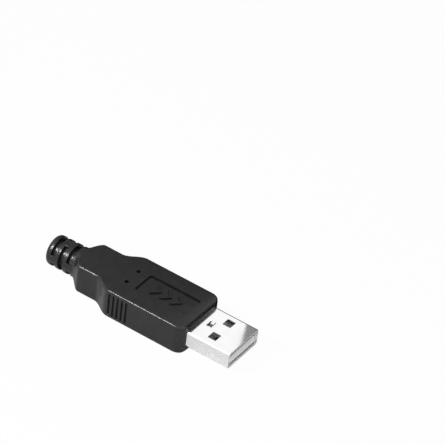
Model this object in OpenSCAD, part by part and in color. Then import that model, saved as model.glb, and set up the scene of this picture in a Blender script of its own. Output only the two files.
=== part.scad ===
// Moulded Standard-A plug for a screened four-core cable.
// +X points along the plug to the tip of the metal shell, +Y to its left side, +Z up.
// The origin is under the middle of the plug, on the plane that its flat bottom rests on.
// Inside each module X is measured from the front face of the overmould (tip positive),
// and Y and Z from the centreline of the shell.

/* [Shell] */
// Outside width of the metal shell
shell_w = 12; // [11.6:0.1:12.4]
// Outside height of the metal shell
shell_h = 4.5; // [4.3:0.05:4.7]
// Thickness of the shell's sheet
shell_t = 0.3; // [0.2:0.05:0.4]
// Outside radius of the shell's four long bends
shell_bend_r = 0.64; // [0.5:0.02:0.8]
// Length of shell that stands out of the overmould
shell_reach = 11.75; // [11.5:0.25:14]
// Length of shell that is held inside the moulding
shell_hold = 7; // [6:0.25:8]
// Length of each latch window along the plug
window_l = 2.2; // [1.8:0.1:2.6]
// Width of each latch window across the plug
window_w = 2.4; // [1.8:0.1:2.6]
// Distance from the tip to the front edge of the windows
window_setback = 5.15; // [4.8:0.05:5.6]
// Distance from the centreline to the middle of each window
window_y = 3; // [2.7:0.05:3.2]
// Corner radius of the windows
window_corner_r = 0.15; // [0.1:0.05:0.3]
// Length of the pressed-in bridge across the plug
lance_l = 2.1; // [1.6:0.1:2.6]
// Width of the pressed-in bridge along the plug
lance_w = 0.9; // [0.7:0.1:1.2]
// Depth that the bridge is pressed in
lance_dip = 0.4; // [0.3:0.05:0.45]
// Width of the slit on each side of the bridge
lance_slit = 0.25; // [0.15:0.05:0.35]
// Distance from the overmould to the middle of the bridge
lance_x = 2.45; // [2.2:0.05:2.5]
// Width of the butt seam along the bottom of the shell
seam_gap = 0.08; // [0.05:0.01:0.12]
// Length of the dovetail that locks the seam
dovetail_l = 2.4; // [1.8:0.1:3]
// Width of the dovetail across the seam
dovetail_w = 1.1; // [0.8:0.1:1.4]
// Overhang of each end of the dovetail
dovetail_flare = 0.35; // [0.2:0.05:0.5]
// Distance from the tip to the front end of the dovetail
dovetail_setback = 4.8; // [4.2:0.1:5.6]

/* [Insulator and contacts] */
// Height of the tongue above the shell's inside bottom
tongue_h = 1.9; // [1.8:0.05:2]
// Distance from the tip of the shell to the front of the tongue
tongue_setback = 0.45; // [0.3:0.05:0.8]
// Depth of the mouth from the tip back to the insulator's block
mouth_depth = 8.65; // [8.4:0.05:9]
// Bevel on the front edges of the tongue
tongue_bevel = 0.3; // [0.1:0.05:0.5]
// Distance from the shell's rear end to the insulator's rear face
insulator_inset = 0.5; // [0.3:0.1:1]
// Width of each contact
contact_w = 1; // [0.9:0.02:1.1]
// Thickness of the contact strip
contact_t = 0.25; // [0.2:0.01:0.3]
// Distance from the centreline to the two data contacts
data_y = 1; // [0.95:0.01:1.05]
// Distance from the centreline to the supply and ground contacts
power_y = 3.5; // [3.4:0.02:3.6]
// Length of a data contact in the mouth
data_contact_l = 6.41; // [6.1:0.05:6.7]
// Length of a supply or ground contact in the mouth
power_contact_l = 7.41; // [7.1:0.05:7.55]
// Length of the hook bent down at the front of each contact
hook_h = 0.6; // [0.4:0.05:0.9]
// Length of the solder tail behind the insulator
tail_l = 3.8; // [3:0.1:4.5]
// Width of the solder tail
tail_w = 1.4; // [1.1:0.1:1.6]
// Diameter of the solder groove in the tail
tail_groove_d = 0.8; // [0.5:0.05:0.9]

/* [Rear screen] */
// Thickness of the screen halves' sheet
screen_t = 0.3; // [0.2:0.05:0.35]
// Length of screen that overlaps the rear end of the shell
screen_overlap = 2; // [1:0.25:3]
// Length of the screen box along the plug
screen_l = 10.8; // [10:0.2:11.5]
// Width of each latch tab of the upper half along the plug
latch_w = 2; // [1.4:0.1:2.4]
// Length of each latch tab below the joint of the halves
latch_l = 1.6; // [1.2:0.1:2]
// Distance of the first latch tab's middle from the screen's front edge
latch_setback = 4; // [3:0.25:4.5]
// Distance between the two latch tabs of a side
latch_pitch = 4.4; // [3.4:0.2:5]
// Height of the catch that each latch tab snaps over
catch_h = 0.6; // [0.4:0.05:0.8]
// Length of the strap between the screen box and the crimp
strap_l = 1.2; // [0.8:0.1:1.6]
// Width of that strap
strap_w = 2.4; // [1.6:0.1:3]
// Length of the crimp barrel
crimp_l = 3.4; // [2.6:0.2:3.8]
// Opening between the crimp's two wings, in degrees
crimp_gap_angle = 50; // [30:5:80]

/* [Cable] */
// Outside diameter of the cable that the strain relief takes
cable_d = 4.5; // [4:0.1:4.8]

/* [Inner mould] */
// Thickness of the inner mould's wall beside the latch tabs
inner_side_wall = 0.31; // [0.25:0.02:0.45]
// Thickness of the inner mould's wall above and below the screen
inner_top_wall = 0.58; // [0.45:0.01:0.7]
// Edge radius of the inner mould
inner_edge_r = 1; // [0.6:0.1:1.2]
// Length of the inner mould's block
inner_l = 19.6; // [19.2:0.2:20]
// Diameter of the inner mould's stub round the cable
stub_d = 6.2; // [5.8:0.1:6.4]
// Length of the inner mould's stub
stub_l = 3.2; // [2:0.2:4.5]

/* [Overmould] */
// Thickness of the body's side walls round the inner mould
skin_side_wall = 0.95; // [0.8:0.05:1.5]
// Thickness of the body's top and bottom walls round the inner mould
skin_top_wall = 0.85; // [0.7:0.05:1.3]
// Length of the body from the front face to the shoulder
body_l = 21.4; // [21.4:0.1:26]
// Length of the shoulder that narrows the body to the neck
shoulder_l = 5.6; // [4:0.1:8]
// Width of the neck
neck_w = 10.8; // [9.6:0.2:12]
// Radius of the neck's long edges
neck_edge_r = 0.7; // [0.4:0.05:1.2]
// Length of the neck between shoulder and root
neck_l = 4.9; // [3:0.1:8]
// Length of the root that blends the neck into the strain relief
root_l = 3.2; // [1.6:0.2:4]
// How long the root keeps the neck's square corners, from 1 for evenly
root_squareness = 1.4; // [1:0.1:2]
// Thickness of the wall in front of the inner mould
front_wall = 2; // [1.6:0.1:2.4]
// Radius of the front corners, seen from above
front_corner_r = 2.7; // [1.5:0.1:3.2]
// Radius of the edges round the front face
front_edge_r = 0.9; // [0.4:0.1:1.2]
// Radius of the long edges
edge_r = 0.55; // [0.3:0.05:0.9]

/* [Grip and panel] */
// Number of grip grooves on each side
groove_count = 5; // [2:1:5]
// Distance from the front face to the first groove
groove_setback = 16.15; // [12:0.05:16.2]
// Distance between grooves
groove_pitch = 1.22; // [1:0.02:1.24]
// Width of a groove
groove_w = 0.5; // [0.3:0.05:0.8]
// Depth of a groove
groove_depth = 0.45; // [0.2:0.05:0.6]
// Height of a groove
groove_h = 6.2; // [4:0.2:6.4]
// Length of the recessed panel
panel_l = 14.5; // [8:0.5:14.5]
// Width of the recessed panel
panel_w = 6.8; // [4:0.1:9]
// Depth of the recessed panel
panel_depth = 0.4; // [0.1:0.05:0.5]
// Distance from the front face to the panel
panel_setback = 2.8; // [2.7:0.1:4]
// Corner radius of the panel
panel_corner_r = 0.6; // [0.2:0.1:1.5]
// Number of raised chevrons in the panel
chevron_count = 3; // [0:1:4]
// Distance between chevrons
chevron_pitch = 3; // [2.6:0.1:3]
// Width of a chevron across the plug
chevron_span = 3.6; // [2:0.2:3.8]
// Width of the chevrons' bars
chevron_bar = 0.6; // [0.3:0.05:0.9]
// Height of the chevrons above the panel
chevron_h = 0.2; // [0.05:0.05:0.3]
// Diameter of the core pin holes behind the panel
pin_hole_d = 1.1; // [0.5:0.1:1.4]
// Distance from the centreline to each core pin hole
pin_hole_y = 2.4; // [1.5:0.1:4]
// Distance from the front face to the core pin holes
pin_hole_setback = 20.2; // [18.5:0.1:20.8]

/* [Strain relief] */
// Diameter of the strain relief next to the root
relief_d = 7.9; // [7.2:0.1:7.9]
// Diameter of the strain relief at its rear end
relief_end_d = 7.7; // [6.8:0.1:7.7]
// Length of the strain relief behind the root
relief_l = 7.9; // [7.4:0.1:14]
// Radius of the rounded rear end
relief_end_r = 1; // [0.6:0.1:1.5]
// Number of slot pairs
slot_count = 3; // [1:1:3]
// Distance from the root to the middle of the first slot pair
slot_setback = 1.1; // [1:0.05:1.4]
// Distance between slot pairs
slot_pitch = 2.28; // [2:0.02:2.3]
// Width of a slot along the plug
slot_w = 1.25; // [0.8:0.05:1.3]
// Depth of a slot
slot_depth = 1.15; // [0.5:0.05:1.2]
// Angle that one slot covers
slot_angle = 146; // [90:2:150]

/* [Clearances] */
// Gap between pieces that are pressed, folded or moulded round each other
fit = 0.02; // [0.01:0.01:0.03]

/* [Hidden] */

$fn = 64;
past = 1;                      // how far a cutter runs past the face that it opens
corner_steps = 5;              // facets in a corner of a lofted section
bend_steps = 8;                // sections in a quarter bend of the loft
shoulder_steps = 12;           // sections in the shoulder
root_steps = 10;               // sections in the root
lance_steps = 12;              // facets along the pressed-in bridge

shell_inner_w = shell_w - 2 * shell_t;
shell_inner_h = shell_h - 2 * shell_t;
shell_inner_r = shell_bend_r - shell_t;
shell_rear_x = -shell_hold;

insulator_w = shell_inner_w - 2 * fit;
insulator_h = shell_inner_h - 2 * fit;
insulator_r = shell_inner_r - fit;
insulator_rear_x = shell_rear_x + insulator_inset;
tongue_front_x = shell_reach - tongue_setback;
tongue_top_z = -shell_inner_h / 2 + tongue_h;
block_front_x = shell_reach - mouth_depth;

screen_inner_w = shell_w + 2 * fit;
screen_inner_h = shell_h + 2 * fit;
screen_inner_r = shell_bend_r + fit;
screen_w = screen_inner_w + 2 * screen_t;
screen_h = screen_inner_h + 2 * screen_t;
screen_r = screen_inner_r + screen_t;
screen_front_x = shell_rear_x + screen_overlap;
screen_rear_x = screen_front_x - screen_l;
latch_w_over = screen_w + 2 * (fit + screen_t);
strap_rear_x = screen_rear_x - strap_l;
crimp_rear_x = strap_rear_x - crimp_l;
crimp_inner_r = cable_d / 2 + fit;
crimp_outer_r = crimp_inner_r + screen_t;
strap_bottom_z = -screen_h / 2;

inner_w = latch_w_over + 2 * inner_side_wall;
inner_h = screen_h + 2 * inner_top_wall;
inner_front_x = -front_wall;
inner_rear_x = inner_front_x - inner_l;
stub_rear_x = inner_rear_x - stub_l;

body_w = inner_w + 2 * skin_side_wall;
body_h = inner_h + 2 * skin_top_wall;
shoulder_x = -body_l;
neck_x = shoulder_x - shoulder_l;
root_x = neck_x - neck_l;
relief_x = root_x - root_l;
rear_x = relief_x - relief_l;
root_w = relief_d + 4 * fit;   // the root's last section stands just round the strain relief

middle_x = (shell_reach + rear_x) / 2;

// Moves a piece from the plug's own centreline to the resting frame.
module placed() {
    translate([-middle_x, 0, body_h / 2]) children();
}

// Extrudes an outline drawn in Y and Z from x0 to x1.
module along_x(x0, x1) {
    translate([x0, 0, 0]) rotate([90, 0, 90]) linear_extrude(x1 - x0) children();
}

// Extrudes an outline drawn in X and Z across the plug, centred on y.
module across_y(w, y = 0) {
    translate([0, y + w / 2, 0]) rotate([90, 0, 0]) linear_extrude(w) children();
}

// A block from x0 to x1, centred on the plug, between two heights.
module slab(x0, x1, w, z0, z1) {
    translate([x0, -w / 2, z0]) cube([x1 - x0, w, z1 - z0]);
}

// A rectangle with round corners, centred.
module rounded_rect(l, w, r) {
    square([l - 2 * r, w], center = true);
    square([l, w - 2 * r], center = true);
    for (sx = [-1, 1], sy = [-1, 1])
        translate([sx * (l / 2 - r), sy * (w / 2 - r)]) circle(r);
}

// Makes two copies, one on each side of the centreline.
module both_sides() {
    children();
    mirror([0, 1, 0]) children();
}

// ---------------------------------------------------------------- shell

// The bottom seam's dovetail as a path of straight cuts.
function seam_path() =
    let (x1 = shell_reach - dovetail_setback, x0 = x1 - dovetail_l)
    [
        [shell_rear_x - past, 0],
        [x0, 0],
        [x0 - dovetail_flare, -dovetail_w],
        [x1 + dovetail_flare, -dovetail_w],
        [x1, 0],
        [shell_reach + past, 0],
    ];

module seam_cut() {
    path = seam_path();
    for (i = [0 : len(path) - 2]) {
        step = path[i + 1] - path[i];
        translate([path[i].x, path[i].y, -shell_h / 2 - past])
            rotate([0, 0, atan2(step.y, step.x)])
                translate([-seam_gap / 2, -seam_gap / 2, 0])
                    cube([norm(step) + seam_gap, seam_gap, past + 1.5 * shell_t]);
    }
}

// The latch windows, cut through the top and the bottom.
module window_cuts() {
    x = shell_reach - window_setback - window_l / 2;
    both_sides()
        translate([x, window_y, -shell_h / 2 - past])
            linear_extrude(shell_h + 2 * past) rounded_rect(window_l, window_w, window_corner_r);
}

// Height of the bridge's outer face: flush at its ends, lowest in the middle.
function lance_z(y) = shell_h / 2 - lance_dip * (1 + cos(360 * y / lance_l)) / 2;

module lance_opening() {
    l = lance_w + 2 * lance_slit;
    translate([lance_x - l / 2, -lance_l / 2, shell_h / 2 - 1.5 * shell_t])
        cube([l, lance_l, 2 * shell_t]);
}

module lance_bridge() {
    ys = [for (i = [0 : lance_steps]) lance_l * (i / lance_steps - 0.5)];
    last = lance_steps;
    along_x(lance_x - lance_w / 2, lance_x + lance_w / 2)
        polygon(concat(
            [for (y = ys) [y, lance_z(y)]],
            [for (i = [0 : last]) [ys[last - i], lance_z(ys[last - i]) - shell_t]]
        ));
}

module shell() {
    color([0.84, 0.85, 0.87])
        placed() {
            difference() {
                along_x(shell_rear_x, shell_reach)
                    difference() {
                        rounded_rect(shell_w, shell_h, shell_bend_r);
                        rounded_rect(shell_inner_w, shell_inner_h, shell_inner_r);
                    }
                window_cuts();
                lance_opening();
                seam_cut();
            }
            lance_bridge();
        }
}

// ---------------------------------------------------------------- insulator and contacts

// Side view of the insulator: a block that fills the shell, and the tongue in front of it.
module insulator_profile() {
    low = -insulator_h / 2;
    polygon([
        [insulator_rear_x, low],
        [tongue_front_x - tongue_bevel, low],
        [tongue_front_x, low + tongue_bevel],
        [tongue_front_x, tongue_top_z - tongue_bevel],
        [tongue_front_x - tongue_bevel, tongue_top_z],
        [block_front_x, tongue_top_z],
        [block_front_x, insulator_h / 2],
        [insulator_rear_x, insulator_h / 2],
    ]);
}

// Side view of a contact: hook, strip and solder tail. grow widens it into its own groove.
module contact_profile(contact_l, grow = 0) {
    front = block_front_x + contact_l + grow;
    top = tongue_top_z + grow;
    bottom = tongue_top_z - contact_t - grow;
    polygon([
        [front, top],
        [front, tongue_top_z - hook_h - grow],
        [front - contact_t - 2 * grow, tongue_top_z - hook_h - grow],
        [front - contact_t - 2 * grow, bottom],
        [insulator_rear_x - past, bottom],
        [insulator_rear_x - past, top],
    ]);
}

module insulator() {
    color([0.93, 0.93, 0.91])
        placed()
            difference() {
                intersection() {
                    along_x(insulator_rear_x, tongue_front_x)
                        rounded_rect(insulator_w, insulator_h, insulator_r);
                    across_y(insulator_w) insulator_profile();
                }
                for (y = [-data_y, data_y])
                    across_y(contact_w + 2 * fit, y) contact_profile(data_contact_l, fit);
                for (y = [-power_y, power_y])
                    across_y(contact_w + 2 * fit, y) contact_profile(power_contact_l, fit);
                lance_notch();
            }
}

// The pocket in the top of the block that the shell's bridge drops into.
module lance_notch() {
    z0 = shell_h / 2 - shell_t - lance_dip - 2 * fit;
    slab(lance_x - lance_w / 2 - lance_slit, shell_reach, lance_l + 2 * fit, z0, shell_h / 2);
}

module contact(y, contact_l) {
    tail_front_x = insulator_rear_x - fit;
    tail_rear_x = insulator_rear_x - tail_l;
    color([0.83, 0.66, 0.32])
        placed() {
            intersection() {
                across_y(contact_w, y) contact_profile(contact_l);
                translate([tail_front_x, y - contact_w / 2, -shell_h / 2])
                    cube([shell_reach - tail_front_x, contact_w, shell_h]);
            }
            translate([0, y, 0])
                difference() {
                    slab(tail_rear_x, tail_front_x, tail_w, tongue_top_z - contact_t, tongue_top_z);
                    translate([tail_rear_x - past, 0, tongue_top_z + tail_groove_d / 4])
                        rotate([0, 90, 0]) cylinder(d = tail_groove_d, h = tail_l - tail_w + past);
                }
        }
}

module contact_supply() { contact(-power_y, power_contact_l); }
module contact_data_minus() { contact(-data_y, data_contact_l); }
module contact_data_plus() { contact(data_y, data_contact_l); }
module contact_ground() { contact(power_y, power_contact_l); }

// ---------------------------------------------------------------- rear screen

// The closed screen box, before it is parted into halves.
module screen_box() {
    difference() {
        along_x(screen_rear_x, screen_front_x) rounded_rect(screen_w, screen_h, screen_r);
        along_x(screen_rear_x + screen_t, screen_front_x + past)
            rounded_rect(screen_inner_w, screen_inner_h, screen_inner_r);
        along_x(screen_rear_x - past, screen_rear_x + 2 * screen_t) circle(crimp_inner_r);
    }
}

// Repeats a feature at each latch of one side.
module at_latches() {
    for (i = [0 : 1])
        translate([screen_front_x - latch_setback - i * latch_pitch, 0, 0]) children();
}

// A latch tab: it steps out over the joint and hangs outside the lower half.
module latch_tab() {
    y0 = screen_inner_w / 2;
    y1 = screen_w / 2 + fit;
    translate([-latch_w / 2, y0, fit]) cube([latch_w, y1 + screen_t - y0, screen_t]);
    difference() {
        translate([-latch_w / 2, y1, -latch_l]) cube([latch_w, screen_t, latch_l + fit + screen_t]);
        translate([-latch_w / 4 - fit, y1 - past, -latch_l / 2 - catch_h / 2 - fit])
            cube([latch_w / 2 + 2 * fit, screen_t + 2 * past, catch_h + 2 * fit]);
    }
}

// The catch on the lower half that a latch tab snaps over.
module latch_catch() {
    translate([-latch_w / 4, screen_w / 2 - screen_t / 2, -latch_l / 2 - catch_h / 2])
        cube([latch_w / 2, screen_t, catch_h]);
}

module rear_screen_upper() {
    color([0.72, 0.73, 0.74])
        placed() {
            intersection() {
                screen_box();
                slab(screen_rear_x - past, screen_front_x + past, screen_w + past, fit, screen_h);
            }
            both_sides() at_latches() latch_tab();
        }
}

// Two wings rolled round the cable, open at the top.
module crimp_barrel() {
    translate([crimp_rear_x, 0, 0])
        rotate([0, 90, 0])
            rotate([0, 0, 180 + crimp_gap_angle / 2])
                rotate_extrude(angle = 360 - crimp_gap_angle)
                    translate([crimp_inner_r, 0]) square([screen_t, crimp_l]);
}

module rear_screen_lower() {
    color([0.66, 0.67, 0.68])
        placed() {
            intersection() {
                screen_box();
                slab(screen_rear_x - past, screen_front_x + past, screen_w + past, -screen_h, -fit);
            }
            both_sides() at_latches() latch_catch();
            difference() {
                slab(strap_rear_x - screen_t, screen_rear_x + screen_t, strap_w,
                    strap_bottom_z, strap_bottom_z + 2 * screen_t);
                along_x(strap_rear_x - past, screen_rear_x + past) circle(crimp_inner_r);
            }
            crimp_barrel();
        }
}

// ---------------------------------------------------------------- inner mould

module inner_mould_form(grow = 0) {
    along_x(inner_rear_x - grow, inner_front_x + grow)
        rounded_rect(inner_w + 2 * grow, inner_h + 2 * grow, inner_edge_r + grow);
    along_x(stub_rear_x - grow, inner_rear_x) circle(d = stub_d + 2 * grow);
}

module inner_mould() {
    color([0.2, 0.2, 0.21])
        placed()
            difference() {
                inner_mould_form();
                along_x(screen_front_x - past, past)
                    rounded_rect(shell_w + 2 * fit, shell_h + 2 * fit, shell_bend_r + fit);
                along_x(screen_rear_x - fit, screen_front_x + fit)
                    rounded_rect(screen_w + 2 * fit, screen_h + 2 * fit, screen_r + fit);
                at_latches()
                    translate([-latch_w / 2 - fit, -latch_w_over / 2 - fit, -latch_l - fit])
                        cube([latch_w + 2 * fit, latch_w_over + 2 * fit, latch_l + screen_t + 3 * fit]);
                slab(strap_rear_x - screen_t - fit, screen_rear_x, strap_w + 2 * fit, strap_bottom_z - fit, 0);
                along_x(crimp_rear_x - fit, screen_rear_x) circle(crimp_outer_r + fit);
                along_x(stub_rear_x - past, crimp_rear_x) circle(d = cable_d);
            }
}

// ---------------------------------------------------------------- overmould

// A section of the loft is [x, half width, half height, corner radius].
function front_section(a) =
    let (x = front_corner_r * (sin(a) - 1), near = max(0, x + front_edge_r))
    [
        x,
        body_w / 2 - front_corner_r * (1 - cos(a)),
        body_h / 2 - front_edge_r + sqrt(pow(front_edge_r, 2) - pow(near, 2)),
        edge_r + (front_edge_r - edge_r) * near / front_edge_r,
    ];

function eased(t) = (1 - cos(180 * t)) / 2;
function mixed(a, b, t) = a + (b - a) * t;

function shoulder_section(t) =
    [
        shoulder_x - shoulder_l * t,
        mixed(body_w, neck_w, eased(t)) / 2,
        body_h / 2,
        mixed(edge_r, neck_edge_r, t),
    ];

// The root's width shrinks early and its corners turn round late.
function root_section(t) =
    let (early = pow(eased(t), 1 / root_squareness), late = pow(eased(t), root_squareness))
    [
        root_x - root_l * t,
        mixed(neck_w, root_w, early) / 2,
        mixed(body_h, root_w, early) / 2,
        mixed(neck_edge_r, root_w / 2 - fit, late),
    ];

function overmould_sections() = concat(
    [for (i = [0 : root_steps]) root_section(1 - i / root_steps)],
    [for (i = [0 : shoulder_steps]) shoulder_section(1 - i / shoulder_steps)],
    [for (i = [0 : bend_steps]) front_section(90 * i / bend_steps)]
);

function corner_points(s, quadrant) =
    let (sy = (quadrant == 0 || quadrant == 3) ? 1 : -1, sz = quadrant < 2 ? 1 : -1)
    [for (i = [0 : corner_steps])
        let (a = 90 * (quadrant + i / corner_steps))
        [s[0], sy * (s[1] - s[3]) + s[3] * cos(a), sz * (s[2] - s[3]) + s[3] * sin(a)]];

// A solid skin through a list of sections, closed by its first and last one.
module loft(sections) {
    ring = 4 * (corner_steps + 1);
    last = len(sections) - 1;
    polyhedron(
        points = [for (s = sections) for (q = [0 : 3]) each corner_points(s, q)],
        faces = concat(
            [[for (j = [0 : ring - 1]) j]],
            [for (i = [0 : last - 1]) for (j = [0 : ring - 1])
                let (k = (j + 1) % ring)
                [i * ring + j, (i + 1) * ring + j, (i + 1) * ring + k, i * ring + k]],
            [[for (j = [0 : ring - 1]) last * ring + ring - 1 - j]]
        )
    );
}

// The round tail: slightly tapered, with a rounded end.
module relief_form() {
    r0 = relief_d / 2;
    r1 = relief_end_d / 2;
    rotate([0, -90, 0])
        translate([0, 0, -relief_x])
            rotate_extrude() {
                polygon([
                    [0, 0],
                    [r0, 0],
                    [r1, relief_l - relief_end_r],
                    [r1 - relief_end_r, relief_l - relief_end_r],
                    [r1 - relief_end_r, relief_l],
                    [0, relief_l],
                ]);
                translate([r1 - relief_end_r, relief_l - relief_end_r])
                    intersection() {
                        circle(relief_end_r);
                        square(relief_end_r);
                    }
            }
}

// One slot: a part ring cut from the outside down to the sleeve round the cable.
module slot_cut(middle_angle) {
    r0 = relief_d / 2 - slot_depth;
    rotate([0, -90, 0])
        rotate([0, 0, middle_angle - slot_angle / 2])
            rotate_extrude(angle = slot_angle)
                translate([r0, -slot_w / 2]) square([slot_depth + past, slot_w]);
}

// Slot pairs, turned by a quarter from one pair to the next, the first pair up and down.
module slot_cuts() {
    for (i = [0 : slot_count - 1], side = [0, 180])
        translate([relief_x - slot_setback - i * slot_pitch, 0, 0])
            slot_cut(side + (i % 2) * 90);
}

module groove_cuts() {
    for (i = [0 : groove_count - 1])
        translate([-groove_setback - i * groove_pitch - groove_w / 2,
                body_w / 2 - groove_depth, -groove_h / 2])
            cube([groove_w, groove_depth + past, groove_h]);
}

module panel_cut() {
    translate([-panel_setback - panel_l / 2, 0, body_h / 2 - panel_depth])
        linear_extrude(panel_depth + past) rounded_rect(panel_l, panel_w, panel_corner_r);
}

// One raised chevron, pointing to the shell.
module chevron() {
    both_sides()
        linear_extrude(chevron_h)
            polygon([
                [0, 0],
                [-chevron_bar, 0],
                [-chevron_bar - chevron_span / 2, chevron_span / 2],
                [-chevron_span / 2, chevron_span / 2],
            ]);
}

module chevrons() {
    row_l = (chevron_count - 1) * chevron_pitch;
    x0 = -panel_setback - panel_l / 2 + (row_l + chevron_span / 2 + chevron_bar) / 2;
    for (i = [0 : chevron_count - 1])
        translate([x0 - i * chevron_pitch, 0, body_h / 2 - panel_depth]) chevron();
}

module pin_hole_cuts() {
    both_sides()
        translate([-pin_hole_setback, pin_hole_y, 0])
            cylinder(d = pin_hole_d, h = body_h);
}

module overmould() {
    color([0.13, 0.13, 0.14])
        placed() {
            difference() {
                union() {
                    loft(overmould_sections());
                    relief_form();
                }
                inner_mould_form(fit);
                along_x(inner_front_x - past, past)
                    rounded_rect(shell_w + 2 * fit, shell_h + 2 * fit, shell_bend_r + fit);
                along_x(rear_x - past, stub_rear_x) circle(d = cable_d);
                slot_cuts();
                both_sides() groove_cuts();
                panel_cut();
                pin_hole_cuts();
            }
            chevrons();
        }
}

overmould();
inner_mould();
shell();
insulator();
contact_supply();
contact_data_minus();
contact_data_plus();
contact_ground();
rear_screen_upper();
rear_screen_lower();
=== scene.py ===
"""Looks of a moulded Standard-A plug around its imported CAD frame.

The overmould and the metal shell are modelled again here with fine curves and rounded
edges. The other pieces are the CAD nodes with small modifiers and their own materials.
Lengths are millimetres, measured as in the CAD source: X from the overmould's front face
towards the shell's tip, Y and Z from the centreline of the shell. Sizes that the frame's
boxes don't give repeat the named values of the CAD source, apart from the bevels and the
chevrons' height.
"""

import math

import bpy
from mathutils import Matrix, Vector


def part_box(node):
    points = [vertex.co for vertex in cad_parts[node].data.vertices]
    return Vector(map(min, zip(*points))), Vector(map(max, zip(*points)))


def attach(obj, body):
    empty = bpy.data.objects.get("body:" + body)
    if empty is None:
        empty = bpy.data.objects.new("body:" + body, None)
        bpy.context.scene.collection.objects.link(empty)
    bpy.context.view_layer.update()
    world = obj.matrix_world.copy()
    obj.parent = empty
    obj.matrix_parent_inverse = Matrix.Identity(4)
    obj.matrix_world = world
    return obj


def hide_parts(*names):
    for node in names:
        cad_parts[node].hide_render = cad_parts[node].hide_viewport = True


MM = 0.001


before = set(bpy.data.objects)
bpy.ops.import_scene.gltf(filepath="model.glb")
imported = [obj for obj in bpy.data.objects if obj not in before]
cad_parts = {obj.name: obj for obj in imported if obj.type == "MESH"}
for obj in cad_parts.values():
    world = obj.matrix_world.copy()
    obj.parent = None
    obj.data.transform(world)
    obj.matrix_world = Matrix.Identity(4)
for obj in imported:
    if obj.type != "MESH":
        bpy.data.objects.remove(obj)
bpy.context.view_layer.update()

# ---------------------------------------------------------------- sizes

shell_lo, shell_hi = (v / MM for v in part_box("shell"))
mould_lo, mould_hi = (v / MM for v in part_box("overmould"))
inner_lo, inner_hi = (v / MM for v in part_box("inner_mould"))

# The overmould's front face and the shell's centreline in the row's frame.
FRONT = mould_hi.x
CENTRE_Z = (mould_lo.z + mould_hi.z) / 2
ORIGIN = Vector((FRONT, 0, CENTRE_Z))
TO_ROW = Matrix.Scale(MM, 4) @ Matrix.Translation(ORIGIN)

TIP = shell_hi.x - FRONT
SHELL_REAR = shell_lo.x - FRONT
SHELL_W = shell_hi.y - shell_lo.y
SHELL_H = shell_hi.z - shell_lo.z
SHELL_T = 0.3
SHELL_BEND_R = 0.64
SHELL_BEVEL = 0.035

WINDOW_L, WINDOW_W, WINDOW_R = 2.2, 2.4, 0.15
WINDOW_SETBACK, WINDOW_Y = 5.15, 3.0
LANCE_X, LANCE_L, LANCE_W = 2.45, 2.1, 0.9
LANCE_DIP, LANCE_SLIT = 0.4, 0.25
SEAM_GAP = 0.08
DOVETAIL_SETBACK = 4.8
DOVETAIL_L, DOVETAIL_W, DOVETAIL_FLARE = 2.4, 1.1, 0.35

BODY_W = mould_hi.y - mould_lo.y
BODY_H = mould_hi.z - mould_lo.z
REAR = mould_lo.x - FRONT
MOULD_BEVEL = 0.09
BODY_L, SHOULDER_L = 21.4, 5.6
NECK_W, NECK_R, NECK_L = 10.8, 0.7, 4.9
ROOT_L, ROOT_SQUARENESS = 3.2, 1.4
EDGE_R = 0.55
FRONT_CORNER_R, FRONT_EDGE_R = 2.7, 0.9
RELIEF_R, RELIEF_END_R, RELIEF_ROUND = 3.95, 3.85, 1.0
RELIEF_X = -(BODY_L + SHOULDER_L + NECK_L + ROOT_L)
SLOT_SETBACK, SLOT_PITCH, SLOT_W = 1.1, 2.28, 1.25
SLOT_COUNT, SLOT_DEPTH, SLOT_ANGLE = 3, 1.15, 146
GROOVE_COUNT, GROOVE_SETBACK, GROOVE_PITCH = 5, 16.15, 1.22
GROOVE_W, GROOVE_DEPTH, GROOVE_H = 0.5, 0.45, 6.2
PANEL_L, PANEL_W, PANEL_DEPTH = 14.5, 6.8, 0.4
PANEL_SETBACK, PANEL_R = 2.8, 0.6
CHEVRONS, CHEVRON_PITCH, CHEVRON_SPAN = 3, 3.0, 3.6
CHEVRON_BAR, CHEVRON_H = 0.6, 0.3       # a little higher than in the CAD source
PIN_D, PIN_Y, PIN_SETBACK = 1.1, 2.4, 20.2

INNER_FRONT = inner_hi.x - FRONT
INNER_W = inner_hi.y - inner_lo.y
INNER_H = inner_hi.z - inner_lo.z
INNER_L, INNER_R = 19.6, 1.0
STUB_R = 3.1
STUB_REAR = inner_lo.x - FRONT
CABLE_R = 2.25

FIT = 0.02                              # clearance between pieces that seat
PAST = 1                                # how far a cutter runs past the face that it opens
SHEET_CUT = 1.5 * SHELL_T               # how deep a cutter goes that opens one wall of the shell

# ---------------------------------------------------------------- mesh tools


def new_object(name, verts, faces):
    """A mesh object in the scene."""
    mesh = bpy.data.meshes.new(name)
    mesh.from_pydata([tuple(v) for v in verts], [], faces)
    mesh.validate()
    obj = bpy.data.objects.new(name, mesh)
    bpy.context.scene.collection.objects.link(obj)
    return obj


def skin(name, rings):
    """A closed skin through rings that have the same number of points."""
    n = len(rings[0])
    verts = [p for ring in rings for p in ring]
    faces = [list(range(n))[::-1]]
    for i in range(len(rings) - 1):
        for j in range(n):
            k = (j + 1) % n
            faces.append([i * n + j, i * n + k, (i + 1) * n + k, (i + 1) * n + j])
    faces.append([(len(rings) - 1) * n + j for j in range(n)])
    return new_object(name, verts, faces)


def rounded(w, h, r, steps=6):
    """Outline of a rectangle with round corners, counterclockwise."""
    points = []
    for quadrant, (su, sv) in enumerate(((1, 1), (-1, 1), (-1, -1), (1, -1))):
        for i in range(steps + 1):
            a = math.radians(90 * (quadrant + i / steps))
            u = su * (w / 2 - r) + r * math.cos(a)
            v = sv * (h / 2 - r) + r * math.sin(a)
            points.append((u, v))
    return points


def along_x(name, outline, x0, x1):
    """A prism from x0 to x1 on an outline in Y and Z."""
    return skin(name, [[(x, u, v) for u, v in outline] for x in (x0, x1)])


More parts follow.
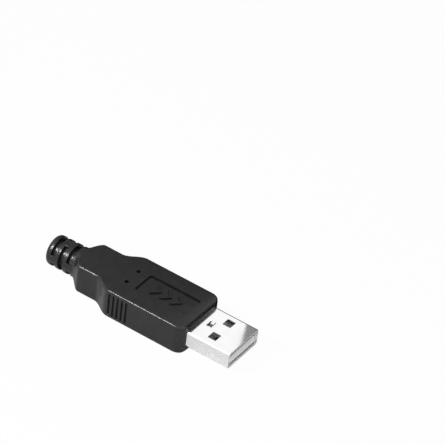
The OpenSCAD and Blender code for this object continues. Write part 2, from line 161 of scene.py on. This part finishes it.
def along_z(name, outline, z0, z1, x=0, y=0):
    """A prism from z0 to z1 on an outline in X and Y, moved to x and y."""
    return skin(name, [[(x + u, y + v, z) for u, v in outline] for z in (z0, z1)])


def block(name, lo, hi):
    """A box between two corners."""
    outline = [(lo[0], lo[1]), (hi[0], lo[1]), (hi[0], hi[1]), (lo[0], hi[1])]
    return along_z(name, outline, lo[2], hi[2])


def circle(r, steps=64):
    """Outline of a circle, counterclockwise."""
    turn = 2 * math.pi / steps
    return [(r * math.cos(i * turn), r * math.sin(i * turn)) for i in range(steps)]


def apply_modifiers(obj):
    """Puts the modified mesh in the place of the object's own."""
    evaluated = obj.evaluated_get(bpy.context.evaluated_depsgraph_get())
    mesh = bpy.data.meshes.new_from_object(evaluated)
    obj.modifiers.clear()
    old, obj.data = obj.data, mesh
    bpy.data.meshes.remove(old)


def combine(obj, tools, operation="DIFFERENCE"):
    """Cuts the tools from obj, or joins them to it, one after another."""
    for tool in tools:
        mod = obj.modifiers.new("combine", "BOOLEAN")
        mod.operation, mod.object, mod.solver = operation, tool, "EXACT"
        apply_modifiers(obj)
        bpy.data.objects.remove(tool)


def add_bevel(obj, width, segments):
    """Modifiers that join flat faces and round the edges between the others."""
    flat_angle, edge_angle = 0.5, 30
    flat = obj.modifiers.new("flat", "DECIMATE")
    flat.decimate_type, flat.angle_limit = "DISSOLVE", math.radians(flat_angle)
    bevel = obj.modifiers.new("bevel", "BEVEL")
    bevel.limit_method, bevel.angle_limit = "ANGLE", math.radians(edge_angle)
    bevel.width, bevel.segments = width, segments
    return bevel


def soften(obj, width, segments):
    """Rounds the sharp edges of a mesh for good."""
    bevel = add_bevel(obj, width, segments)
    bevel.use_clamp_overlap = False
    bevel.miter_outer = "MITER_ARC"
    apply_modifiers(obj)


def paint(mesh, material, other, faces):
    """Gives a mesh its material, and some of its faces another."""
    mesh.materials.append(material)
    mesh.materials.append(other)
    for face in faces:
        face.material_index = 1


def to_row(obj):
    """Moves a finished mesh to the row's frame in metres, and shades it smooth."""
    sharp_angle = 35
    obj.data.transform(TO_ROW)
    obj.data.shade_smooth()
    obj.data.set_sharp_from_angle(angle=math.radians(sharp_angle))
    weighted = obj.modifiers.new("weighted", "WEIGHTED_NORMAL")
    weighted.keep_sharp = True


# ---------------------------------------------------------------- overmould


def eased(t):
    """Runs from 0 to 1 with t, and is level at both ends."""
    return (1 - math.cos(math.pi * t)) / 2


def mixed(a, b, t):
    """Runs straight from a to b as t runs from 0 to 1."""
    return a + (b - a) * t


def mould_sections():
    """Sections (x, width, height, corner radius) from the rear end to the front face."""
    end_steps, root_steps, shoulder_steps, front_steps = 8, 24, 32, 16
    nearly = 0.01                       # keeps a round section's corners a hair apart
    for i in range(end_steps + 1):      # rounded end of the strain relief
        a = math.radians(90 * i / end_steps)
        r = RELIEF_END_R - RELIEF_ROUND * (1 - math.sin(a))
        yield REAR + RELIEF_ROUND * (1 - math.cos(a)), 2 * r, 2 * r, r - nearly
    for i in range(root_steps + 1):     # root, from the round tail to the flat neck
        t = 1 - i / root_steps
        x = RELIEF_X + ROOT_L * (1 - t)
        early = eased(t) ** (1 / ROOT_SQUARENESS)
        late = eased(t) ** ROOT_SQUARENESS
        w = mixed(NECK_W, 2 * RELIEF_R, early)
        h = mixed(BODY_H, 2 * RELIEF_R, early)
        yield x, w, h, mixed(NECK_R, RELIEF_R - nearly, late)
    for i in range(shoulder_steps + 1):  # shoulder, from the neck to the body
        t = 1 - i / shoulder_steps
        x = -BODY_L - SHOULDER_L * t
        yield x, mixed(BODY_W, NECK_W, eased(t)), BODY_H, mixed(EDGE_R, NECK_R, t)
    for i in range(front_steps + 1):    # rounded front corners and front edges
        a = math.radians(90 * i / front_steps)
        x = FRONT_CORNER_R * (math.sin(a) - 1)
        near = max(0, x + FRONT_EDGE_R)
        drop = FRONT_EDGE_R - math.sqrt(FRONT_EDGE_R**2 - near**2)
        w = BODY_W - 2 * FRONT_CORNER_R * (1 - math.cos(a))
        r = mixed(EDGE_R, FRONT_EDGE_R, near / FRONT_EDGE_R)
        yield x, w, BODY_H - 2 * drop, r


def slot_cutter(x, middle):
    """Part of a ring around the strain relief, centred on an angle in degrees."""
    steps = 24
    half = SLOT_W / 2
    inner, outer = RELIEF_R - SLOT_DEPTH, RELIEF_R + PAST
    section = [(-half, inner), (half, inner), (half, outer), (-half, outer)]
    rings = []
    for i in range(steps + 1):
        a = math.radians(middle + SLOT_ANGLE * (i / steps - 0.5))
        rings.append([(x + dx, r * math.cos(a), r * math.sin(a)) for dx, r in section])
    return skin("slot", rings)


def slot_cutters():
    """Two slots in each ring, turned a quarter from one ring to the next."""
    for i in range(SLOT_COUNT):
        x = RELIEF_X - SLOT_SETBACK - i * SLOT_PITCH
        quarter = 90 if i % 2 == 0 else 0
        for side in (0, 180):
            yield slot_cutter(x, quarter + side)


def groove_cutters():
    """The upright grip grooves on both sides of the body."""
    half_w, half_h = GROOVE_W / 2, GROOVE_H / 2
    for i in range(GROOVE_COUNT):
        x = -GROOVE_SETBACK - i * GROOVE_PITCH
        for side in (-1, 1):
            y0, y1 = sorted((side * (BODY_W / 2 - GROOVE_DEPTH), side * (BODY_W / 2 + PAST)))
            yield block("groove", (x - half_w, y0, -half_h), (x + half_w, y1, half_h))


def mould_cavity():
    """The room for the inner mould, the shell and the cable."""
    grown = rounded(INNER_W + 2 * FIT, INNER_H + 2 * FIT, INNER_R + FIT)
    yield along_x("room", grown, INNER_FRONT - INNER_L - FIT, INNER_FRONT + FIT)
    yield along_x("stub_room", circle(STUB_R + FIT), STUB_REAR - FIT, INNER_FRONT - INNER_L)
    mouth = rounded(SHELL_W + 2 * FIT, SHELL_H + 2 * FIT, SHELL_BEND_R + FIT)
    yield along_x("mouth", mouth, INNER_FRONT - PAST, PAST)
    yield along_x("bore", circle(CABLE_R), REAR - PAST, STUB_REAR)


def chevron(x):
    """A raised bar in the panel, bent to point at the shell, with its point at x."""
    half = CHEVRON_SPAN / 2
    outline = [
        (0, 0), (-half, half), (-half - CHEVRON_BAR, half),
        (-CHEVRON_BAR, 0), (-half - CHEVRON_BAR, -half), (-half, -half),
    ]
    floor = BODY_H / 2 - PANEL_DEPTH
    return along_z("chevron", outline, floor - CHEVRON_H, floor + CHEVRON_H, x=x)


def panel_walls(mesh):
    """The upright faces in the panel, found before they move to the row's frame."""
    top, rear, front = BODY_H / 2, -PANEL_SETBACK - PANEL_L, -PANEL_SETBACK
    hair = 0.02                         # so that faces on the panel's outline count too
    upright = 0.1                       # the most that an upright face's normal rises
    for face in mesh.polygons:
        x, y, z = face.center
        inside = rear - hair < x < front + hair and abs(y) < PANEL_W / 2 + hair
        if inside and top - PANEL_DEPTH < z < top and abs(face.normal.z) < upright:
            yield face


def make_overmould():
    """The black PVC body with its neck and its strain relief."""
    rings = [
        [(x, u, v) for u, v in rounded(w, h, r, steps=10)]
        for x, w, h, r in mould_sections()
    ]
    mould = skin("overmould_skin", rings)
    combine(mould, list(mould_cavity()))
    combine(mould, list(slot_cutters()) + list(groove_cutters()))
    soften(mould, MOULD_BEVEL, segments=3)
    middle = -PANEL_SETBACK - PANEL_L / 2
    top = BODY_H / 2
    panel_outline = rounded(PANEL_L, PANEL_W, PANEL_R)
    panel = along_z("panel", panel_outline, top - PANEL_DEPTH, top + PAST, x=middle)
    pin_outline = circle(PIN_D / 2, steps=32)
    pins = [
        along_z("pin", pin_outline, 0, top + PAST, -PIN_SETBACK, side * PIN_Y)
        for side in (-1, 1)
    ]
    combine(mould, [panel] + pins)
    row = (CHEVRONS - 1) * CHEVRON_PITCH
    first = middle + (row + CHEVRON_SPAN / 2 + CHEVRON_BAR) / 2
    combine(mould, [chevron(first - i * CHEVRON_PITCH) for i in range(CHEVRONS)], "UNION")
    # the panel's walls get the PVC copy with painted shade
    paint(mould.data, moulded_pvc(), shaded_panel_pvc(), panel_walls(mould.data))
    to_row(mould)
    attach(mould, "root")
    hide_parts("overmould")


# ---------------------------------------------------------------- shell


def bridge_z(y):
    """Outer face of the pressed-in bridge: flush at its ends, lowest in the middle."""
    if abs(y) >= LANCE_L / 2:
        return SHELL_H / 2
    return SHELL_H / 2 - LANCE_DIP * (1 + math.cos(2 * math.pi * y / LANCE_L)) / 2


def make_bridge():
    """The pressed-in bridge, which runs a little into the sheet at both ends."""
    steps, overlap = 24, 0.1
    ys = [LANCE_L * (i / steps - 0.5) for i in range(steps + 1)]
    ys = [ys[0] - overlap] + ys + [ys[-1] + overlap]
    outline = [(y, bridge_z(y)) for y in ys]
    outline += [(y, bridge_z(y) - SHELL_T) for y in reversed(ys)]
    return along_x("bridge", outline, LANCE_X - LANCE_W / 2, LANCE_X + LANCE_W / 2)


def seam_cutters():
    """The butt seam along the bottom, with its dovetail to one side."""
    x1 = TIP - DOVETAIL_SETBACK
    x0 = x1 - DOVETAIL_L
    path = [
        (SHELL_REAR - PAST, 0), (x0, 0), (x0 - DOVETAIL_FLARE, -DOVETAIL_W),
        (x1 + DOVETAIL_FLARE, -DOVETAIL_W), (x1, 0), (TIP + PAST, 0),
    ]
    bottom = -SHELL_H / 2
    for a, b in zip(path, path[1:]):
        a, b = Vector(a), Vector(b)
        along = (b - a).normalized() * SEAM_GAP / 2
        across = Vector((-along.y, along.x))
        corners = [a - along - across, b + along - across, b + along + across, a - along + across]
        yield along_z("seam", corners, bottom - PAST, bottom + SHEET_CUT)


def inner_faces(mesh):
    """The faces of the sheet's inside, found before it moves to the row's frame."""
    nearly = 0.9 * SHELL_T              # the walls of cuts stay with the outside
    reach_y, reach_z = SHELL_W / 2 - nearly, SHELL_H / 2 - nearly
    for face in mesh.polygons:
        if abs(face.center.y) < reach_y and abs(face.center.z) < reach_z:
            yield face


def make_shell():
    """The folded metal shell with its windows, its bridge and its seam."""
    bend_steps = 10
    sheet = rounded(SHELL_W, SHELL_H, SHELL_BEND_R, bend_steps)
    tube = along_x("shell_sheet", sheet, SHELL_REAR, TIP)
    hollow = rounded(
        SHELL_W - 2 * SHELL_T, SHELL_H - 2 * SHELL_T, SHELL_BEND_R - SHELL_T, bend_steps
    )
    inside = along_x("inside", hollow, SHELL_REAR - PAST, TIP + PAST)
    window_outline = rounded(WINDOW_L, WINDOW_W, WINDOW_R)
    window_x = TIP - WINDOW_SETBACK - WINDOW_L / 2
    windows = [
        along_z("window", window_outline, -SHELL_H, SHELL_H, window_x, side * WINDOW_Y)
        for side in (-1, 1)
    ]
    reach = LANCE_W / 2 + LANCE_SLIT
    opening = block(
        "opening",
        (LANCE_X - reach, -LANCE_L / 2, SHELL_H / 2 - SHEET_CUT),
        (LANCE_X + reach, LANCE_L / 2, SHELL_H / 2 + PAST),
    )
    combine(tube, [inside] + windows + [opening])
    combine(tube, list(seam_cutters()))
    combine(tube, [make_bridge()], "UNION")
    soften(tube, SHELL_BEVEL, segments=2)
    # the inside faces get the steel with painted shade
    paint(tube.data, plated_steel(), painted_shade_steel(), inner_faces(tube.data))
    to_row(tube)
    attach(tube, "root")
    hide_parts("shell")


# ---------------------------------------------------------------- carried-over nodes


def dress_node(name, width, material):
    """Rounds a CAD node's edges by modifiers and gives it its material."""
    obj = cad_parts[name]
    weld = obj.modifiers.new("weld", "WELD")
    weld.merge_threshold = 0.001 * MM
    add_bevel(obj, width * MM, segments=2)
    obj.modifiers.new("weighted", "WEIGHTED_NORMAL")
    obj.data.materials.clear()
    obj.data.materials.append(material)


# ---------------------------------------------------------------- materials


class Nodes:
    """A material's node tree with short calls for the nodes used here."""

    def __init__(self, name, **values):
        """Starts a material, with values that are the same all over its surface."""
        self.material = bpy.data.materials.new(name)
        self.material.use_nodes = True
        self.tree = self.material.node_tree
        self.shader = self.tree.nodes["Principled BSDF"]
        for key, value in values.items():
            self.shader.inputs[key.replace("_", " ")].default_value = value

    def add(self, kind, **values):
        """Adds a node and sets its properties."""
        node = self.tree.nodes.new(kind)
        for key, value in values.items():
            setattr(node, key, value)
        return node

    def link(self, out, into):
        self.tree.links.new(out, into)

    def place(self, stretch=(1, 1, 1)):
        """Object coordinates in millimetres, times a share along each axis."""
        coords = self.add("ShaderNodeTexCoord")
        mapping = self.add("ShaderNodeMapping")
        mapping.inputs["Scale"].default_value = [s / MM for s in stretch]
        self.link(coords.outputs["Object"], mapping.inputs["Vector"])
        return mapping.outputs["Vector"]

    def noise(self, scale, detail, rough=0.5, stretch=(1, 1, 1)):
        """A noise with a scale per millimetre."""
        node = self.add("ShaderNodeTexNoise")
        node.inputs["Scale"].default_value = scale
        node.inputs["Detail"].default_value = detail
        node.inputs["Roughness"].default_value = rough
        self.link(self.place(stretch), node.inputs["Vector"])
        return node.outputs["Fac"]

    def cells(self, scale):
        """A random colour in each cell, with a scale per millimetre."""
        node = self.add("ShaderNodeTexVoronoi")
        node.inputs["Scale"].default_value = scale
        self.link(self.place(), node.inputs["Vector"])
        return node.outputs["Color"]

    def ramp(self, value, *stops):
        """A colour ramp from two stops of (position, colour or grey)."""
        node = self.add("ShaderNodeValToRGB")
        for element, (position, colour) in zip(node.color_ramp.elements, stops):
            element.position = position
            if not isinstance(colour, tuple):
                colour = (colour, colour, colour)
            element.color = (*colour, 1)
        self.link(value, node.inputs["Fac"])
        return node.outputs["Color"]

    def between(self, value, low, high):
        """Spreads a noise, which seldom leaves 0.3 to 0.7, between two colours or greys."""
        return self.ramp(value, (0.3, low), (0.7, high))

    def depth(self, x0, x1):
        """0 behind x0 and 1 in front of x1, measured along the plug from the front face."""
        split = self.add("ShaderNodeSeparateXYZ")
        self.link(self.place(), split.inputs["Vector"])
        fade = self.add("ShaderNodeMapRange")
        fade.inputs["From Min"].default_value = x0 + FRONT
        fade.inputs["From Max"].default_value = x1 + FRONT
        self.link(split.outputs["X"], fade.inputs["Value"])
        return fade.outputs["Result"]

    def openness(self, reach):
        """1 where nothing stands within reach of the surface, 0 in a closed gap."""
        node = self.add("ShaderNodeAmbientOcclusion")
        node.inputs["Distance"].default_value = reach * MM
        return node.outputs["AO"]

    def blend(self, share, colour, other):
        """Mixes a colour output with a fixed colour."""
        mix = self.add("ShaderNodeMix", data_type="RGBA")
        self.link(share, mix.inputs["Factor"])
        self.link(colour, mix.inputs["A"])
        mix.inputs["B"].default_value = (*other, 1)
        return mix.outputs["Result"]

    def bump(self, height, strength, distance, normal=None):
        """A bump whose heights span a distance in millimetres."""
        node = self.add("ShaderNodeBump")
        node.inputs["Strength"].default_value = strength
        node.inputs["Distance"].default_value = distance * MM
        self.link(height, node.inputs["Height"])
        if normal is not None:
            self.link(normal, node.inputs["Normal"])
        return node.outputs["Normal"]

    def finish(self, colour, roughness, normal):
        """Feeds the shader and returns the material."""
        self.link(colour, self.shader.inputs["Base Color"])
        self.link(roughness, self.shader.inputs["Roughness"])
        self.link(normal, self.shader.inputs["Normal"])
        return self.material


def moulded_pvc():
    """Black PVC with a coarse and a fine grain."""
    m = Nodes("moulded_pvc", IOR=1.5, Specular_IOR_Level=0.42)
    colour = m.between(m.noise(0.5, detail=4), (0.008, 0.008, 0.0084), (0.014, 0.014, 0.0145))
    roughness = m.between(m.noise(1.3, detail=3), 0.20, 0.27)
    coarse = m.bump(m.noise(2.8, detail=1), strength=1.0, distance=0.045)
    fine_noise = m.noise(7.0, detail=2, rough=0.6)
    grain = m.bump(fine_noise, strength=1.0, distance=0.014, normal=coarse)
    return m.finish(colour, roughness, grain)


def shaded_panel_pvc():
    """The walls in the panel: a matt copy of the moulded PVC that throws no glints, with a darker
    colour that is painted shade in the recess.
    """
    m = Nodes("shaded_panel_pvc", IOR=1.5, Specular_IOR_Level=0.06)
    # painted shade: a little darker than the moulded PVC
    colour = m.between(m.noise(0.5, detail=4), (0.007, 0.007, 0.0074), (0.011, 0.011, 0.0115))
    roughness = m.between(m.noise(1.3, detail=3), 0.55, 0.7)
    grain = m.bump(m.noise(7.0, detail=2, rough=0.6), strength=1.0, distance=0.003)
    return m.finish(colour, roughness, grain)


def inner_plastic():
    """Dark plastic with flow marks along the plug."""
    m = Nodes("inner_plastic")
    colour = m.between(m.noise(0.4, detail=3), (0.026, 0.026, 0.028), (0.036, 0.036, 0.038))
    streaks = m.noise(0.8, detail=3, stretch=(0.2, 1, 1))
    roughness = m.between(streaks, 0.32, 0.45)
    flow = m.noise(1.2, detail=2, stretch=(0.15, 1, 1))
    return m.finish(colour, roughness, m.bump(flow, strength=0.3, distance=0.03))


def plated_steel():
    """Bright nickel plating over the faint brushing of the sheet."""
    m = Nodes("plated_steel", Metallic=1.0)
    colour = m.between(m.noise(0.35, detail=4), (0.93, 0.93, 0.94), (0.97, 0.97, 0.975))
    wear = m.noise(1.2, detail=4, rough=0.6, stretch=(0.25, 1, 1))
    roughness = m.between(wear, 0.11, 0.17)
    brushing = m.noise(9.0, detail=2, stretch=(0.04, 1, 1))
    return m.finish(colour, roughness, m.bump(brushing, strength=0.12, distance=0.006))


def painted_shade_steel():
    """The inside of the shell: steel painted dark as shade behind the mouth, and as bright as the
    plating near the tip.
    """
    m = Nodes("painted_shade_steel", Metallic=1.0)
    # painted shade: the inside faces are dark steel behind the mouth, where shade falls, and
    # brighten towards the tip
    rear, front = TIP - 2.2, TIP - 0.9          # where it brightens
    shaded_inside = m.between(m.noise(0.5, detail=4), (0.13, 0.13, 0.135), (0.19, 0.19, 0.195))
    colour = m.blend(m.depth(rear, front), shaded_inside, (0.93, 0.93, 0.94))
    roughness = m.between(m.noise(1.5, detail=3), 0.35, 0.5)
    grain = m.bump(m.noise(7.0, detail=3), strength=0.2, distance=0.01)
    return m.finish(colour, roughness, grain)


def white_plastic():
    """White plastic, with painted shade that darkens it in closed gaps."""
    m = Nodes("white_plastic")
    plain_white = m.between(m.noise(0.6, detail=3), (0.80, 0.80, 0.78), (0.86, 0.86, 0.85))
    # painted shade: near black where the ambient-occlusion mask finds a closed gap
    painted_gap_shade = m.ramp(m.openness(reach=0.6), (0.35, 1.0), (0.75, 0.0))
    colour = m.blend(painted_gap_shade, plain_white, (0.02, 0.02, 0.02))
    roughness = m.between(m.noise(2.0, detail=3), 0.32, 0.42)
    grain = m.bump(m.noise(4.0, detail=3), strength=0.15, distance=0.01)
    return m.finish(colour, roughness, grain)


def gold_plating():
    """Gold at the mating end of a contact, plain nickel behind it."""
    m = Nodes("gold_plating", Metallic=1.0)
    rear, front = TIP - 4.85, TIP - 4.65        # where the gold begins
    nickel = m.between(m.noise(1.5, detail=3), (0.36, 0.36, 0.35), (0.44, 0.44, 0.43))
    colour = m.blend(m.depth(rear, front), nickel, (0.84, 0.62, 0.27))
    wear = m.noise(3.0, detail=3, rough=0.6, stretch=(0.1, 1, 1))
    roughness = m.between(wear, 0.26, 0.38)
    brushing = m.noise(12.0, detail=2, stretch=(0.06, 1, 1))
    return m.finish(colour, roughness, m.bump(brushing, strength=0.15, distance=0.005))


def tinned_steel():
    """Tin plating with its crystals."""
    m = Nodes("tinned_steel", Metallic=1.0)
    colour = m.ramp(m.cells(1.4), (0.0, (0.58, 0.59, 0.60)), (1.0, (0.68, 0.69, 0.70)))
    roughness = m.between(m.noise(1.0, detail=4), 0.28, 0.42)
    grain = m.bump(m.noise(5.0, detail=3), strength=0.2, distance=0.01)
    return m.finish(colour, roughness, grain)


# ---------------------------------------------------------------- camera, floor and light

CAMERA_TURN, CAMERA_RISE, CAMERA_ROLL = 30.241, 38.566, 7.239
CAMERA_DISTANCE, CAMERA_ASIDE, CAMERA_ABOVE = 695.7, 4.750, 24.330
FOCAL_LENGTH, PHOTO_WIDTH = 3000, 444   # both in the photograph's pixels
SENSOR_WIDTH = 36

WORLD_LIGHT = 0.3
FLOOR_REACH, FLOOR_GREY, FLOOR_GLOW = 600, 0.66, 0.97

FLAG_Y = 12                             # the cards stand this far behind the centreline
STAGE_ROUGHNESS = 0.9

PLUG_MIDDLE = Vector((-15, 0, 0))       # the lamps look here


def make_camera():
    """The photograph's viewpoint: turned round the plug, raised, rolled, and far off."""
    turn, rise, roll = (math.radians(v) for v in (CAMERA_TURN, CAMERA_RISE, CAMERA_ROLL))
    back = Vector((
        math.sin(turn) * math.cos(rise), -math.cos(turn) * math.cos(rise), math.sin(rise)
    ))
    level = Vector((math.cos(turn), math.sin(turn), 0))
    upright = back.cross(level)
    right = level * math.cos(roll) + upright * math.sin(roll)
    up = upright * math.cos(roll) - level * math.sin(roll)
    place = ORIGIN + back * CAMERA_DISTANCE + right * CAMERA_ASIDE + up * CAMERA_ABOVE
    data = bpy.data.cameras.new("camera")
    data.sensor_width = SENSOR_WIDTH
    data.lens = FOCAL_LENGTH / PHOTO_WIDTH * SENSOR_WIDTH
    data.clip_start, data.clip_end = 0.01, 10   # metres
    camera = bpy.data.objects.new("camera", data)
    bpy.context.scene.collection.objects.link(camera)
    axes = Matrix((right, up, back)).transposed()
    camera.matrix_world = Matrix.Translation(place * MM) @ axes.to_4x4()
    bpy.context.scene.camera = camera


def seen_directly(tree):
    """1 for camera, glossy and transmission rays, 0 for the light that falls on things."""
    path = tree.nodes.new("ShaderNodeLightPath")
    value = path.outputs["Is Camera Ray"]
    for name in ("Is Glossy Ray", "Is Transmission Ray"):
        node = tree.nodes.new("ShaderNodeMath")
        node.operation = "MAXIMUM"
        tree.links.new(value, node.inputs[0])
        tree.links.new(path.outputs[name], node.inputs[1])
        value = node.outputs[0]
    return value


def mix_shaders(tree, share, shader, other, output):
    """Mixes two shaders into a tree's output, the other one by its share."""
    mix = tree.nodes.new("ShaderNodeMixShader")
    tree.links.new(share, mix.inputs["Fac"])
    tree.links.new(shader.outputs[0], mix.inputs[1])
    tree.links.new(other.outputs[0], mix.inputs[2])
    tree.links.new(mix.outputs[0], tree.nodes[output].inputs["Surface"])


def make_world():
    """Weak light all round, and white where the background is seen."""
    world = bpy.data.worlds.new("studio")
    bpy.context.scene.world = world
    world.use_nodes = True
    tree = world.node_tree
    light = tree.nodes["Background"]
    light.inputs["Color"].default_value = (1, 1, 1, 1)
    light.inputs["Strength"].default_value = WORLD_LIGHT
    white = tree.nodes.new("ShaderNodeBackground")
    white.inputs["Color"].default_value = (1, 1, 1, 1)
    white.inputs["Strength"].default_value = 1.0
    mix_shaders(tree, seen_directly(tree), light, white, "World Output")


def stage_nodes(name, grey):
    """A plain matt surface of the stage."""
    colour = (grey, grey, grey, 1)
    return Nodes(name, Base_Color=colour, Roughness=STAGE_ROUGHNESS, Specular_IOR_Level=0.0)


def make_floor():
    """A pale floor that the camera sees nearly white, with a trace of the plug's shadow."""
    corners = [
        (sx * FLOOR_REACH, sy * FLOOR_REACH, -CENTRE_Z)
        for sx, sy in ((-1, -1), (1, -1), (1, 1), (-1, 1))
    ]
    floor = new_object("floor", corners, [[0, 1, 2, 3]])
    floor.data.transform(TO_ROW)
    m = stage_nodes("floor", FLOOR_GREY)
    glow = m.add("ShaderNodeEmission")
    glow.inputs["Color"].default_value = (1, 1, 1, 1)
    share = m.add("ShaderNodeMath", operation="MULTIPLY")
    share.inputs[1].default_value = FLOOR_GLOW
    m.link(m.add("ShaderNodeLightPath").outputs["Is Camera Ray"], share.inputs[0])
    mix_shaders(m.tree, share.outputs[0], m.shader, glow, "Material Output")
    floor.data.materials.append(m.material)


def make_flag(name, outline, grey):
    """An upright card behind the plug that only reflections see."""
    corners = [(x, FLAG_Y, z) for x, z in outline]
    flag = new_object(name, corners, [list(range(len(corners)))])
    flag.data.transform(TO_ROW)
    flag.visible_camera = False
    flag.visible_diffuse = False
    flag.visible_shadow = False
    flag.data.materials.append(stage_nodes(name, grey).material)


def make_flags():
    """A black strip low behind the plug, and grey cards behind its body and its tip."""
    rear, front = -70, 90
    bottom, low, high = -CENTRE_Z + 0.5, 7, 40
    body_foot, body_head = -3.4, -24.3
    tip_foot, tip_head = 5.2, 1.4
    strip = [(rear, bottom), (front, bottom), (front, low), (rear, low)]
    body = [(rear, low), (body_foot, low), (body_head, high), (rear, high)]
    tip = [(tip_foot, low), (front, low), (front, high), (tip_head, high)]
    make_flag("strip_flag", strip, grey=0.02)
    make_flag("body_flag", body, grey=0.35)
    make_flag("tip_flag", tip, grey=0.22)


def softbox(name, place, size, power):
    """A rectangular lamp that looks at the middle of the plug."""
    data = bpy.data.lights.new(name, "AREA")
    data.shape = "RECTANGLE"
    data.size, data.size_y = (side * MM for side in size)
    data.energy = power
    lamp = bpy.data.objects.new(name, data)
    bpy.context.scene.collection.objects.link(lamp)
    place = Vector(place)
    look = (PLUG_MIDDLE - place).to_track_quat("-Z", "Y").to_matrix().to_4x4()
    lamp.matrix_world = Matrix.Translation((place + ORIGIN) * MM) @ look


make_camera()
make_world()
make_floor()
make_flags()
softbox("key", place=(-133, -187, 203), size=(40, 40), power=0.82)
softbox("fill", place=(240, -90, 130), size=(400, 300), power=0.4)

make_overmould()
make_shell()
dress_node("inner_mould", width=0.08, material=inner_plastic())
# the insulator's white carries painted shade in its closed gaps
dress_node("insulator", width=0.04, material=white_plastic())
gold = gold_plating()
for contact in ("contact_supply", "contact_data_minus", "contact_data_plus", "contact_ground"):
    dress_node(contact, width=0.015, material=gold)
tin = tinned_steel()
for half in ("rear_screen_upper", "rear_screen_lower"):
    dress_node(half, width=0.03, material=tin)

bpy.context.scene.view_settings.view_transform = "Standard"
